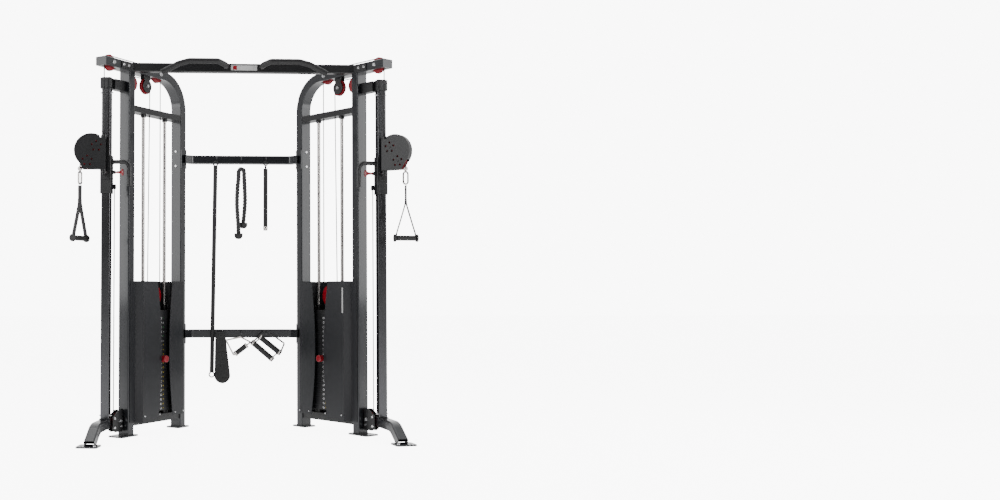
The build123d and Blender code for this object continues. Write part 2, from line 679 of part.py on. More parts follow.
for side in ("left", "right"):
    frame = head_frame(side)
    with BuildPart() as head_housing:
        extrude(to_extrude=head_outline(side, 0), amount=HEAD_HALF, both=True)
        hollow = head_outline(side, HEAD_SKIN)
        extrude(to_extrude=hollow, amount=HEAD_HALF - HEAD_SKIN, both=True, mode=Mode.SUBTRACT)
        # the foot is open for the cable, and the back for the guide bush
        with BuildSketch(Plane(origin=frame.from_local_coords((105, 0, HEAD_FLAT - 5)), x_dir=frame.x_dir)):
            Rectangle(110, 2 * (HEAD_HALF - HEAD_SKIN))
        extrude(amount=59, mode=Mode.SUBTRACT)
        for centre_s, centre_z in (HEAD_UPPER, HEAD_LOWER):
            with BuildSketch(head_side(side)):
                with Locations((centre_s, centre_z)):
                    with PolarLocations(26, 5, 90):
                        Circle(6)
            extrude(amount=HEAD_HALF + 1, both=True, mode=Mode.SUBTRACT)
            with BuildSketch(head_side(side)):
                with Locations((centre_s, centre_z)):
                    Circle(AXLE_R)
            extrude(amount=HEAD_HALF + 3, both=True)
        # hollow upper spigot and lower pivot
        with BuildSketch(frame.offset(1660)):
            Circle(14)
            Circle(6.5, mode=Mode.SUBTRACT)
        extrude(amount=25)
        with BuildSketch(frame.offset(1650)):
            Circle(6.5)
        extrude(amount=20, mode=Mode.SUBTRACT)
        with BuildSketch(frame.offset(1464)):
            Circle(10)
        extrude(amount=HEAD_FLAT + 1 - 1464)
    save(head_housing, f"{side}_head_housing")

    for wheel_name, (wheel_s, wheel_z) in (("upper", HEAD_UPPER), ("lower", HEAD_LOWER)):
        side_plane = head_side(side)
        centre = side_plane.from_local_coords((wheel_s, wheel_z, 0))
        with BuildPart() as head_pulley:
            pulley(Plane(origin=centre, x_dir=side_plane.x_dir, z_dir=side_plane.z_dir))
        save(head_pulley, f"{side}_head_{wheel_name}_pulley")

    # cable from the hollow pivot round both head pulleys to the ball
    reach = hypot(HEAD_LOWER[0] - HEAD_UPPER[0], HEAD_UPPER[1] - HEAD_LOWER[1])
    centre_turn = atan2(HEAD_LOWER[1] - HEAD_UPPER[1], HEAD_LOWER[0] - HEAD_UPPER[0])
    cross_turn = asin(min(1.0, 2 * GROOVE / reach))
    leave = centre_turn - (radians(90) - cross_turn)
    leave_point = (HEAD_UPPER[0] + GROOVE * cos(leave), HEAD_UPPER[1] + GROOVE * sin(leave))
    meet_point = (HEAD_LOWER[0] - GROOVE * cos(leave), HEAD_LOWER[1] - GROOVE * sin(leave))
    half_upper = (radians(180) + leave + radians(360)) / 2
    half_upper_point = (HEAD_UPPER[0] + GROOVE * cos(half_upper), HEAD_UPPER[1] + GROOVE * sin(half_upper))
    with BuildPart() as head_cable:
        with BuildLine(head_side(side)) as cable_path:
            Line((0, 1664), (0, HEAD_UPPER[1]))
            ThreePointArc((0, HEAD_UPPER[1]), half_upper_point, leave_point)
            Line(leave_point, meet_point)
            TangentArc(meet_point, (HANG, HEAD_LOWER[1]), tangent=cable_path.line % 1)
            Line((HANG, HEAD_LOWER[1]), (HANG, BALL_Z + 14))
        with BuildSketch(Plane(origin=cable_path.line @ 0, z_dir=cable_path.line % 0)):
            Circle(CABLE_R)
        sweep(path=cable_path.line)
    save(head_cable, f"{side}_head_cable")

    grip = handle_frame(side)
    with BuildPart() as snap_hook:
        with BuildSketch(grip.offset(1490)):
            Circle(6)
        extrude(amount=-10)
        ball_plane = Plane(
            origin=grip.from_local_coords((0, 0, BALL_Z)), x_dir=grip.x_dir, z_dir=-grip.y_dir
        )
        with BuildSketch(ball_plane):
            with BuildLine():
                CenterArc((0, 0), 13.5, -90, 180)
                Line((0, -13.5), (0, 13.5))
            make_face()
        revolve(axis=Axis(grip.from_local_coords((0, 0, BALL_Z)), UP))
        # oval snap link
        hook_plane = Plane(origin=grip.from_local_coords((0, 0, 1444)), x_dir=grip.x_dir, z_dir=-grip.y_dir)
        with BuildSketch(hook_plane):
            SlotOverall(76, 34, rotation=90)
            SlotOverall(60, 18, rotation=90, mode=Mode.SUBTRACT)
        extrude(amount=4, both=True)
    save(snap_hook, f"{side}_snap_hook")

    with BuildPart() as handle_strap:
        strap_plane = Plane(origin=grip.origin, x_dir=grip.x_dir, z_dir=-grip.y_dir)
        with BuildSketch(strap_plane):
            # two webbing legs from the neck down to the grip's ends
            with BuildLine():
                Polyline((-6, 1404), (6, 1404), (8, 1300), (58, 1128), (58, 1094), (52, 1094), (52, 1126),
                         (0, 1296), (-52, 1126), (-52, 1094),
                         (-58, 1094), (-58, 1128), (-8, 1300), close=True)
            make_face()
        extrude(amount=12.5, both=True)
        with BuildSketch(Plane(origin=grip.from_local_coords((0, 0, 1110)), z_dir=grip.x_dir)):
            Circle(7)
        extrude(amount=80, both=True, mode=Mode.SUBTRACT)
        # neck loop opening of the snap link
        with BuildSketch(Plane(origin=grip.from_local_coords((0, 0, 1404)), x_dir=grip.x_dir)):
            Rectangle(30, 30)
        extrude(amount=-2, mode=Mode.SUBTRACT)
    save(handle_strap, f"{side}_handle_strap")

    with BuildPart() as handle_grip:
        centre = grip.from_local_coords((0, 0, 1110))
        with BuildSketch(Plane(origin=centre, z_dir=grip.x_dir)):
            Circle(14.5)
        extrude(amount=51.5, both=True)
        with BuildSketch(Plane(origin=centre, z_dir=grip.x_dir)):
            Circle(6.8)
        extrude(amount=64, both=True)
        for sign in (-1, 1):
            with BuildSketch(Plane(origin=centre + grip.x_dir * (sign * 58.5), z_dir=grip.x_dir * sign)):
                Circle(21)
            extrude(amount=9)
    save(handle_grip, f"{side}_handle_grip")


# ---------------------------------------------------------------- cables held by the machine
def tower_cable(route):
    """Add the cable along a route drawn on a tower plane."""
    with BuildSketch(Plane(origin=route @ 0, z_dir=route % 0)) as section:
        Circle(CABLE_R)
    sweep(sections=section.sketch, path=route)


cable_top = TOP_Z + GROOVE
mid_top = MID_Z + GROOVE
with BuildPart() as fixed_cables:
    with BuildLine(tower_side(0)) as top_run:
        CenterArc((WING_S, TOP_Z), GROOVE, 180, -90)
        Line((WING_S, cable_top), (REAR_S, cable_top))
        CenterArc((REAR_S, TOP_Z), GROOVE, 90, -90)
    tower_cable(top_run.line)
    with BuildLine(tower_side(0)) as middle_run:
        CenterArc((MID_S, MID_Z), GROOVE, 0, 90)
        Line((MID_S, mid_top), (INNER_S, mid_top))
        CenterArc((INNER_S, MID_Z), GROOVE, 90, 90)
    tower_cable(middle_run.line)
    with BuildLine(tower_side(BASE_T)) as base_run:
        CenterArc((BASE_S, BASE_Z), GROOVE, 0, -180)
    tower_cable(base_run.line)
    # hidden run inside the front upright, a hair short of both arcs
    rod(
        tower.from_local_coords((INNER_S - GROOVE, 0, MID_Z - 0.3)),
        tower.from_local_coords((BASE_S + GROOVE, BASE_T, BASE_Z + 0.3)),
        CABLE_R,
    )
    mirror(about=Plane.YZ)
save(fixed_cables, "fixed_cables")

with BuildPart() as upper_cable:
    rod((AXIS.X, AXIS.Y, 1664.3), (AXIS.X, AXIS.Y, TOP_Z - 0.3), CABLE_R)
save_pair(upper_cable, "upper_cable")

with BuildPart() as lower_cable:
    foot = tower.from_local_coords((BASE_S - GROOVE, BASE_T, BASE_Z))
    rod((foot.X, foot.Y, BASE_Z + 0.3), (foot.X, foot.Y, 1391.7), CABLE_R)
save_pair(lower_cable, "lower_cable")

with BuildPart() as stack_cables:
    for low_s, high_s, high_z in (
        (STACK_S - STACK_GROOVE, MID_S + GROOVE, MID_Z), (STACK_S + STACK_GROOVE, REAR_S + GROOVE, TOP_Z),
    ):
        low = tower.from_local_coords((low_s, 0, TRAVEL_Z))
        high = tower.from_local_coords((high_s, 0, high_z - 0.3))
        rod(low, high, CABLE_R)
save_pair(stack_cables, "stack_cables")


# ---------------------------------------------------------------- accessories hung on the crossbars
def ring(centre, radius, wire, plane=Plane.XZ):
    """Add a wire ring round a centre."""
    wire_centre = Vector(*centre) + plane.x_dir * radius
    with BuildSketch(Plane(origin=wire_centre, x_dir=plane.x_dir, z_dir=plane.y_dir)) as section:
        Circle(wire)
    revolve(profiles=section.sketch, axis=Axis(Vector(*centre), plane.z_dir))


UPPER_HOOK, LOWER_HOOK = BAR_Z[0] + 4.0, BAR_Z[1] + 4.0

with BuildPart() as long_bar:
    BAR_R = 13.0
    top = (-157.0, HOOK_Y, 1576.0)
    bottom = (-178.0, HOOK_Y, 332.0)
    rod(top, bottom, BAR_R)
    ring((-156.5, HOOK_Y, 1590), 14, 4)
    ring((-178.5, HOOK_Y, 316), 15, 4)
save(long_bar, "long_bar")

with BuildPart() as short_bar:
    rod((147, HOOK_Y, 1560), (146, HOOK_Y, 1192), 13.5)
    rod((146, HOOK_Y, 1193), (146, HOOK_Y, 1184), 11.0)
    ring((147.5, HOOK_Y, 1592), 12, 3.5)
    rod((147, HOOK_Y, 1558), (147, HOOK_Y, 1582), 6.0)
save(short_bar, "short_bar")

ROPE_R = 14.0
ROPE_END_R, ROPE_END_H = 26.0, 36.0
with BuildPart() as triceps_rope:
    left_end = (-18.0, HOOK_Y - 20, 1166.0)
    right_end = (12.0, HOOK_Y + 12, 1232.0)
    rope_points = [
        left_end, (-20, HOOK_Y - 19, 1240), (-28, HOOK_Y - 13, 1330), (-25, HOOK_Y - 7, 1430),
        (-16.5, HOOK_Y - 2, 1505), (-16.5, HOOK_Y - 1, 1557), (16.5, HOOK_Y + 1, 1557),
        (16.5, HOOK_Y + 2, 1505),
        (22, HOOK_Y + 5, 1420), (23, HOOK_Y + 8, 1330), right_end,
    ]
    bent_bar(rope_points, [250, 300, 300, 90, 15, 15, 90, 300, 300], ROPE_R)
    for end in (left_end, right_end):
        rod(end, (end[0], end[1], end[2] - ROPE_END_H), ROPE_END_R)
save(triceps_rope, "triceps_rope")

STRAP_TOP_W, STRAP_FOOT_W, STRAP_THICK = 60.0, 96.0, 16.0
with BuildPart() as ankle_strap:
    strap_face = Plane(origin=(-128, HOOK_Y - 22, 574), x_dir=(1, 0, 0.05), z_dir=(0, -1, 0))
    with BuildSketch(strap_face):
        with BuildLine():
            Polyline((-STRAP_TOP_W / 2, 0), (STRAP_TOP_W / 2, 0), (STRAP_FOOT_W / 2, -262))
            ThreePointArc((STRAP_FOOT_W / 2, -262), (0, -262 - STRAP_FOOT_W / 2), (-STRAP_FOOT_W / 2, -262))
            Line((-STRAP_FOOT_W / 2, -262), (-STRAP_TOP_W / 2, 0))
        make_face()
    extrude(amount=STRAP_THICK / 2, both=True)
save(ankle_strap, "ankle_strap")

with BuildPart() as stirrup_handle:
    eye = Vector(-3, HOOK_Y, 540)
    left = Vector(-92, HOOK_Y, 522)
    bottom = Vector(-46, HOOK_Y, 432)
    right = Vector(56, HOOK_Y, 510)
    rod(eye, left, 5)
    rod(eye, right, 5)
    rod(left, bottom, 5)
    rod(right, bottom, 5)
    rod(bottom + (right - bottom) * 0.06, bottom + (right - bottom) * 0.80, 14)
save(stirrup_handle, "stirrup_handle")

with BuildPart() as row_handle:
    for start, end in (
        ((60, HOOK_Y - 26, 516), (190, HOOK_Y - 26, 404)),
        ((104, HOOK_Y - 26, 548), (236, HOOK_Y - 26, 442)),
    ):
        rod(start, end, 15)
    rod((74, HOOK_Y - 26, 505), (118, HOOK_Y - 26, 537), 4)
    rod((178, HOOK_Y - 26, 414), (224, HOOK_Y - 26, 452), 4)
    # bent frame over the second grip
    frame_points = ((66, 511), (148, 583), (258, 503), (234, 446))
    for start, end in zip(frame_points, frame_points[1:]):
        rod((start[0], HOOK_Y - 26, start[1]), (end[0], HOOK_Y - 26, end[1]), 5)
save(row_handle, "row_handle")
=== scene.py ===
"""Looks of the functional trainer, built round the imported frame.

Metres, +Z up, -Y towards the user.
"""

import json
import math

import bmesh
import bpy
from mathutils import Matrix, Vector


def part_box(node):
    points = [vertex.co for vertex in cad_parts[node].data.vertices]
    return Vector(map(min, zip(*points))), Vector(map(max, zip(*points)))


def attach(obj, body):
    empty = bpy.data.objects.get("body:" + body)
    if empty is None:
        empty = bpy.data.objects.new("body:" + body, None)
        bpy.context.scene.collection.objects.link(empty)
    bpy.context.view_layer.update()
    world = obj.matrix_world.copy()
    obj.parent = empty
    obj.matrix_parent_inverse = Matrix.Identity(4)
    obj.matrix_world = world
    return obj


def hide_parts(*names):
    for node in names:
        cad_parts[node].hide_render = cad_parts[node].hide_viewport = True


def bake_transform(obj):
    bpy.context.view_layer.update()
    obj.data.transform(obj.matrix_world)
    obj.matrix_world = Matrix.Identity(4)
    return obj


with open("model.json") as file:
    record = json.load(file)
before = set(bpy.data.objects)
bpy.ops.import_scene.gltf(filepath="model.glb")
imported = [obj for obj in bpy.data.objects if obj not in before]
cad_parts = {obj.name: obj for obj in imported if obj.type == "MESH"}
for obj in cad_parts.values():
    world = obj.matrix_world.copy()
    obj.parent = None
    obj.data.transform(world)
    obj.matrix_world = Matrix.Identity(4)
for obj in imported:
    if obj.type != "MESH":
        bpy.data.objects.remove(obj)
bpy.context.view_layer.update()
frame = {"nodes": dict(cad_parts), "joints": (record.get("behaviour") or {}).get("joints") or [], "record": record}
JOINTS = {joint["name"]: joint for joint in frame["joints"]}
NODES = frame["nodes"]
SIDES = ("left", "right")
UP = Vector((0, 0, 1))
ACROSS = Vector((1, 0, 0))

# ---------------------------------------------------------------- places, from the frame
WHEELS = [name for name in JOINTS if name.endswith("_spin")]


def joint_place(name):
    return Vector(JOINTS[name]["pos_m"])


def wheel_axis(name):
    return Vector(JOINTS[name]["axis"]).normalized()


def tower_frame(side):
    """The stack's middle line at floor height, the way along the tower, and its inner normal."""
    stack = joint_place(f"{side}_stack_spin")
    rear = joint_place(f"{side}_top_rear_spin")
    wing = joint_place(f"{side}_wing_spin")
    along = (rear - wing).normalized()
    inner = Vector(JOINTS[f"{side}_selector_pull"]["axis"]).normalized()
    return Vector((stack.x, stack.y, 0)), along, inner


# ---------------------------------------------------------------- materials
def new_material(name):
    material = bpy.data.materials.new(name)
    material.use_nodes = True
    nodes = material.node_tree.nodes
    return material, nodes, material.node_tree.links, nodes["Principled BSDF"]


def surface(name, colour, roughness, metallic=0.0, spread=0.25, grain=300.0, bump=0.05,
            depth=0.0003, coat=0.0, coat_roughness=0.1, smudge=6.0, edge=0.0012, sheen=0.0,
            kind="noise"):
    """A finish with colour and roughness variation, a fine surface grain and softened edges."""
    material, nodes, links, shader = new_material(name)
    place = nodes.new("ShaderNodeTexCoord")
    cloud = nodes.new("ShaderNodeTexNoise")
    cloud.inputs["Scale"].default_value = smudge
    cloud.inputs["Detail"].default_value = 5.0
    links.new(place.outputs["Object"], cloud.inputs["Vector"])
    tint = nodes.new("ShaderNodeMix")
    tint.data_type = "RGBA"
    tint.inputs["A"].default_value = (*[c * (1 - spread) for c in colour], 1)
    tint.inputs["B"].default_value = (*[min(1.0, c * (1 + spread)) for c in colour], 1)
    links.new(cloud.outputs["Fac"], tint.inputs["Factor"])
    links.new(tint.outputs["Result"], shader.inputs["Base Color"])
    rough = nodes.new("ShaderNodeMapRange")
    rough.inputs["To Min"].default_value = roughness * 0.8
    rough.inputs["To Max"].default_value = min(1.0, roughness * 1.2)
    links.new(cloud.outputs["Fac"], rough.inputs["Value"])
    links.new(rough.outputs["Result"], shader.inputs["Roughness"])
    if kind == "noise":
        fine = nodes.new("ShaderNodeTexNoise")
        fine.inputs["Detail"].default_value = 3.0
        height = "Fac"
    else:
        fine = nodes.new("ShaderNodeTexVoronoi")
        height = "Distance"
    fine.inputs["Scale"].default_value = grain
    links.new(place.outputs["Object"], fine.inputs["Vector"])
    relief = nodes.new("ShaderNodeBump")
    relief.inputs["Strength"].default_value = bump
    relief.inputs["Distance"].default_value = depth
    links.new(fine.outputs[height], relief.inputs["Height"])
    if edge:
        rounding = nodes.new("ShaderNodeBevel")
        rounding.samples = 4
        rounding.inputs["Radius"].default_value = edge
        links.new(rounding.outputs["Normal"], relief.inputs["Normal"])
    links.new(relief.outputs["Normal"], shader.inputs["Normal"])
    shader.inputs["Metallic"].default_value = metallic
    shader.inputs["Coat Weight"].default_value = coat
    shader.inputs["Coat Roughness"].default_value = coat_roughness
    shader.inputs["Sheen Weight"].default_value = sheen
    return material


def woven(name, colour, pitch):
    """Woven webbing: crossing ribs along the strap's own width and length."""
    material, nodes, links, shader = new_material(name)
    place = nodes.new("ShaderNodeTexCoord")
    ribs = []
    for direction in ("X", "Y"):
        wave = nodes.new("ShaderNodeTexWave")
        wave.bands_direction = direction
        wave.inputs["Scale"].default_value = 1.0 / pitch
        wave.inputs["Distortion"].default_value = 0.4
        links.new(place.outputs["UV"], wave.inputs["Vector"])
        ribs.append(wave)
    cross = nodes.new("ShaderNodeMath")
    cross.operation = "MULTIPLY"
    links.new(ribs[0].outputs["Fac"], cross.inputs[0])
    links.new(ribs[1].outputs["Fac"], cross.inputs[1])
    tint = nodes.new("ShaderNodeMix")
    tint.data_type = "RGBA"
    tint.inputs["A"].default_value = (*[c * 0.55 for c in colour], 1)
    tint.inputs["B"].default_value = (*[c * 1.5 for c in colour], 1)
    links.new(cross.outputs["Value"], tint.inputs["Factor"])
    links.new(tint.outputs["Result"], shader.inputs["Base Color"])
    relief = nodes.new("ShaderNodeBump")
    relief.inputs["Strength"].default_value = 0.6
    relief.inputs["Distance"].default_value = 0.0005
    links.new(cross.outputs["Value"], relief.inputs["Height"])
    links.new(relief.outputs["Normal"], shader.inputs["Normal"])
    shader.inputs["Roughness"].default_value = 0.7
    shader.inputs["Sheen Weight"].default_value = 0.3
    return material


FINISH = {
    "graphite_paint": surface(
        "graphite_paint", (0.007, 0.008, 0.011), 0.34, metallic=0.35, grain=900, bump=0.04,
        coat=0.7, coat_roughness=0.12, smudge=2.5),
    "black_paint": surface(
        "black_paint", (0.003, 0.003, 0.004), 0.42, grain=900, bump=0.06,
        coat=0.2, coat_roughness=0.2, smudge=4),
    "shroud_paint": surface(
        "shroud_paint", (0.0035, 0.004, 0.0065), 0.46, grain=1400, bump=0.2,
        coat=0.1, coat_roughness=0.3, smudge=3),
    "column_chrome": surface(
        "column_chrome", (0.10, 0.10, 0.105), 0.22, metallic=1.0, spread=0.12, grain=240,
        bump=0.03, smudge=9),
    "rod_chrome": surface(
        "rod_chrome", (0.62, 0.59, 0.57), 0.20, metallic=1.0, spread=0.06, grain=400,
        bump=0.0, smudge=12, edge=0.0),
    "bright_steel": surface(
        "bright_steel", (0.62, 0.62, 0.63), 0.27, metallic=1.0, spread=0.15, grain=700,
        bump=0.06, smudge=60, edge=0.0005),
    "plate_black": surface(
        "plate_black", (0.006, 0.006, 0.007), 0.40, grain=700, bump=0.3, smudge=14),
    "red_plastic": surface(
        "red_plastic", (0.24, 0.004, 0.012), 0.28, spread=0.12, grain=500, bump=0.04,
        coat=0.3, smudge=30, edge=0.0006),
    "black_rubber": surface(
        "black_rubber", (0.004, 0.004, 0.0045), 0.52, grain=520, bump=0.25, kind="voronoi",
        smudge=25, edge=0.0),
    "cable_coat": surface(
        "cable_coat", (0.010, 0.010, 0.011), 0.30, grain=900, bump=0.2, smudge=40, edge=0.0),
    "webbing": woven("webbing", (0.008, 0.008, 0.009), 0.003),
    "pad_fabric": surface(
        "pad_fabric", (0.003, 0.003, 0.0035), 0.62, grain=1300, bump=0.5, kind="voronoi",
        smudge=20, edge=0.0, sheen=0.05),
}
ROPE = surface("rope_nylon", (0.008, 0.008, 0.009), 0.42, grain=1600, bump=0.6, smudge=60,
               edge=0.0, sheen=0.2)
LABEL = {
    "white": surface("label_white", (0.42, 0.42, 0.42), 0.4, spread=0.04, edge=0.0),
    "yellow": surface("label_yellow", (0.42, 0.32, 0.04), 0.4, spread=0.04, edge=0.0),
    "green": surface("label_green", (0.05, 0.26, 0.08), 0.4, spread=0.04, edge=0.0),
    "ink": surface("label_ink", (0.01, 0.01, 0.01), 0.4, spread=0.04, edge=0.0),
}

for row in frame["record"]["subparts"]:
    mesh = NODES[row["node"]].data
    mesh.materials.clear()
    mesh.materials.append(FINISH[row["material_slot"]])


# ---------------------------------------------------------------- mesh helpers
def piece(name, verts, faces, material, body, smooth=True, uvs=None):
    """A finished mesh piece riding on a CAD body."""
    mesh = bpy.data.meshes.new(name)
    mesh.from_pydata([tuple(v) for v in verts], [], faces)
    mesh.materials.append(material)
    if uvs:
        layer = mesh.uv_layers.new(name="UVMap")
        for loop in mesh.loops:
            layer.data[loop.index].uv = uvs[loop.vertex_index]
    work = bmesh.new()
    work.from_mesh(mesh)
    bmesh.ops.recalc_face_normals(work, faces=work.faces)
    work.to_mesh(mesh)
    work.free()
    for polygon in mesh.polygons:
        polygon.use_smooth = smooth
    made = bpy.data.objects.new(name, mesh)
    bpy.context.scene.collection.objects.link(made)
    if body:
        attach(made, body)
    return made


def side_vectors(direction):
    """Two unit vectors square to a direction."""
    helper = UP if abs(direction.z) < 0.9 else ACROSS
    first = direction.cross(helper).normalized()
    return first, direction.cross(first).normalized()


def tube_mesh(points, radius, sides=16):
    """Vertices and faces of a closed round tube along points."""
    points = [Vector(p) for p in points]
    verts, faces = [], []
    direction = (points[1] - points[0]).normalized()
    first, _ = side_vectors(direction)
    for i, point in enumerate(points):
        ahead = points[min(i + 1, len(points) - 1)] - points[max(i - 1, 0)]
        direction = ahead.normalized()
        first = (first - direction * first.dot(direction)).normalized()
        second = direction.cross(first)
        for k in range(sides):
            turn = 2 * math.pi * k / sides
            verts.append(point + (first * math.cos(turn) + second * math.sin(turn)) * radius)
    for i in range(len(points) - 1):
        for k in range(sides):
            a, b = i * sides + k, i * sides + (k + 1) % sides
            faces.append((a, b, b + sides, a + sides))
    faces.append(tuple(range(sides)))
    last = (len(points) - 1) * sides
    faces.append(tuple(last + k for k in range(sides)))
    return verts, faces


def lathe_mesh(origin, axis, profile, sides=40):
    """Vertices and faces of a closed profile of (radius, height) turned about an axis."""
    first, second = side_vectors(axis)
    verts, faces = [], []
    count = len(profile)
    for k in range(sides):
        turn = 2 * math.pi * k / sides
        out = first * math.cos(turn) + second * math.sin(turn)
        verts += [origin + out * r + axis * h for r, h in profile]
    for k in range(sides):
        for i in range(count):
            a, b = k * count + i, k * count + (i + 1) % count
            c = ((k + 1) % sides) * count
            faces.append((a, b, c + (i + 1) % count, c + i))
    return verts, faces


def merged(parts):
    """One mesh from several (verts, faces)."""
    verts, faces = [], []
    for part_verts, part_faces in parts:
        start = len(verts)
        verts += part_verts
        faces += [tuple(i + start for i in face) for face in part_faces]
    return verts, faces


def slab_mesh(centre, across, along, width, length, thick):
    """A thin block: across and along span its face."""
    out = across.cross(along).normalized()
    verts = [
        centre + across * (sx * width / 2) + along * (sy * length / 2) + out * (sz * thick / 2)
        for sx in (-1, 1) for sy in (-1, 1) for sz in (-1, 1)
    ]
    faces = [(0, 1, 3, 2), (4, 6, 7, 5), (0, 4, 5, 1), (2, 3, 7, 6), (0, 2, 6, 4), (1, 5, 7, 3)]
    return verts, faces


RIBBON_RIM = [(-0.5, 0.25), (-0.46, 0.5), (0.46, 0.5), (0.5, 0.25),
              (0.5, -0.25), (0.46, -0.5), (-0.46, -0.5), (-0.5, -0.25)]


def ribbon(name, points, across, width, thick, material, body):
    """Flat webbing along points, with its width along across and slightly rounded edges."""
    verts, faces, uvs, run = [], [], [], 0.0
    for i, point in enumerate(points):
        ahead = (points[min(i + 1, len(points) - 1)] - points[max(i - 1, 0)]).normalized()
        out = across.cross(ahead).normalized()
        run += (point - points[i - 1]).length if i else 0.0
        for u, v in RIBBON_RIM:
            verts.append(point + across * (u * width) + out * (v * thick))
            uvs.append((u * width, run))
    n = len(RIBBON_RIM)
    for i in range(len(points) - 1):
        for k in range(n):
            a, b = i * n + k, i * n + (k + 1) % n
            faces.append((a, b, b + n, a + n))
    faces += [tuple(range(n)), tuple((len(points) - 1) * n + k for k in range(n))]
    return piece(name, verts, faces, material, body, uvs=uvs)


# ---------------------------------------------------------------- straight cables
CABLE_R = 0.003


def stretched_cable(name, top, bottom, nodes):
    """A straight cable between two bodies."""
    verts, faces = tube_mesh([top, bottom], CABLE_R)
    made = piece(name, verts, faces, FINISH["cable_coat"], None)
    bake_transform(made)
    if nodes:
        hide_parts(*nodes)


def node_ends(node):
    low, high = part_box(node)
    middle = (low + high) / 2
    return Vector((middle.x, middle.y, high.z)), Vector((middle.x, middle.y, low.z))


STACK_WHEEL_GROOVE, GUIDE_GROOVE = 0.0575, 0.041
HANDLE_RUN_R = CABLE_R * 1.02
for side in SIDES:
    for which in ("upper", "lower"):
        node = f"{side}_{which}_cable"
        top, bottom = node_ends(node)
        stretched_cable(f"{side}_{which}_run", top, bottom, [node])
    _, along, _ = tower_frame(side)
    travel = joint_place(f"{side}_stack_spin")
    for number, (sign, wheel) in enumerate(((-1, "top_mid"), (1, "top_rear"))):
        low = travel + along * (sign * STACK_WHEEL_GROOVE)
        high = joint_place(f"{side}_{wheel}_spin") + along * GUIDE_GROOVE
        nodes = [f"{side}_stack_cables"] if number == 0 else []
        stretched_cable(f"{side}_{wheel}_run", high, low, nodes)
    # the run below the head, which pays out as the handle is pulled
    low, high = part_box(f"{side}_snap_hook")
    ball_top = Vector(((low.x + high.x) / 2, (low.y + high.y) / 2, high.z))
    leave = ball_top.copy()
    leave.z = joint_place(f"{side}_head_lower_spin").z
    verts, faces = tube_mesh([leave, ball_top], HANDLE_RUN_R)
    paid_out = piece(f"{side}_handle_run", verts, faces, FINISH["cable_coat"], None)
    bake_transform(paid_out)

# ---------------------------------------------------------------- bearings in every turning pulley
HUB_FACE = 0.009
BEARING_RING = [(0.0075, 0), (0.0075, 0.0004), (0.0085, 0.0007), (0.0145, 0.0007),
                (0.0155, 0.0003), (0.0155, 0)]
for name in WHEELS:
    centre, axis = joint_place(name), wheel_axis(name)
    rings = []
    for sign in (-1, 1):
        ring = [(r, sign * (HUB_FACE + h)) for r, h in BEARING_RING]
        rings.append(lathe_mesh(centre, axis, ring, 32))
    verts, faces = merged(rings)
    piece(name.replace("_spin", "_bearings"), verts, faces, FINISH["bright_steel"],
          JOINTS[name]["child"])

# ---------------------------------------------------------------- handle webbing
STRAP_WIDTH, STRAP_THICK = 0.025, 0.0026
STRAP_TURN_DEG = {"left": 60.0, "right": 5.0}
NECK_THICK = 2.2 * STRAP_THICK
NECK_HEIGHTS = (1.4030, 1.4030 - 0.012, 1.36, 1.33, 1.3020)
# distance from the middle and height down one leg, above the grip
LEG_RUN = [(0.0022, 1.325), (0.0028, 1.306), (0.0060, 1.290), (0.0200, 1.243),
           (0.0400, 1.178), (0.0530, 1.136), (0.0550, 1.124)]
LEG_OUT, LEG_FOOT = 0.0550, 1.0955
EYELET = [(0.0072, -0.0022), (0.0072, 0.0022), (0.0105, 0.0022), (0.0112, 0.0),
          (0.0105, -0.0022)]
STITCH_FOOT, STITCH_PITCH, STITCH_ROWS, STITCH_COLUMN = 1.312, 0.0055, 14, 0.009
STITCH_SIZE = (0.0009, 0.0036, 0.0006)
STITCH_FACE = 1.1 * STRAP_THICK + 0.0002
for side in SIDES:
    body = f"{side}_handle"
    hook_low, hook_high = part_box(f"{side}_snap_hook")
    grip_low, grip_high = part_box(f"{side}_handle_grip")
    spot = Vector(((hook_low.x + hook_high.x) / 2, (hook_low.y + hook_high.y) / 2, 0))
    grip_z = (grip_low.z + grip_high.z) / 2
    turn = math.radians(STRAP_TURN_DEG[side])
    along = Vector((math.cos(turn), math.sin(turn), 0))
    across = Vector((-math.sin(turn), math.cos(turn), 0))

    def at(x, z):
        return spot + along * x + UP * z

    neck = [at(0, height) for height in NECK_HEIGHTS]
    made = ribbon(f"{side}_strap_neck", neck, across, STRAP_WIDTH, NECK_THICK,
                  FINISH["webbing"], body)
    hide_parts(f"{side}_handle_strap")
    for label, sign in (("a", -1), ("b", 1)):
        leg = [at(sign * out, height) for out, height in LEG_RUN]
        leg += [at(sign * LEG_OUT, grip_z), at(sign * LEG_OUT, LEG_FOOT)]
        ribbon(f"{side}_strap_leg_{label}", leg, across, STRAP_WIDTH, STRAP_THICK,
               FINISH["webbing"], body)
        verts, faces = lathe_mesh(at(sign * LEG_OUT, grip_z), along, EYELET, 28)
        piece(f"{side}_strap_eyelet_{label}", verts, faces, FINISH["bright_steel"], body)
    stitches = []
    for row_z in [STITCH_FOOT + STITCH_PITCH * k for k in range(STITCH_ROWS)]:
        for column in (-STITCH_COLUMN, STITCH_COLUMN):
            for face in (-1, 1):
                spot_at = at(face * STITCH_FACE, row_z) + across * column
                stitches.append(slab_mesh(spot_at, across, UP, *STITCH_SIZE))
    verts, faces = merged(stitches)
    piece(f"{side}_strap_stitches", verts, faces, LABEL["ink"], body, smooth=False)

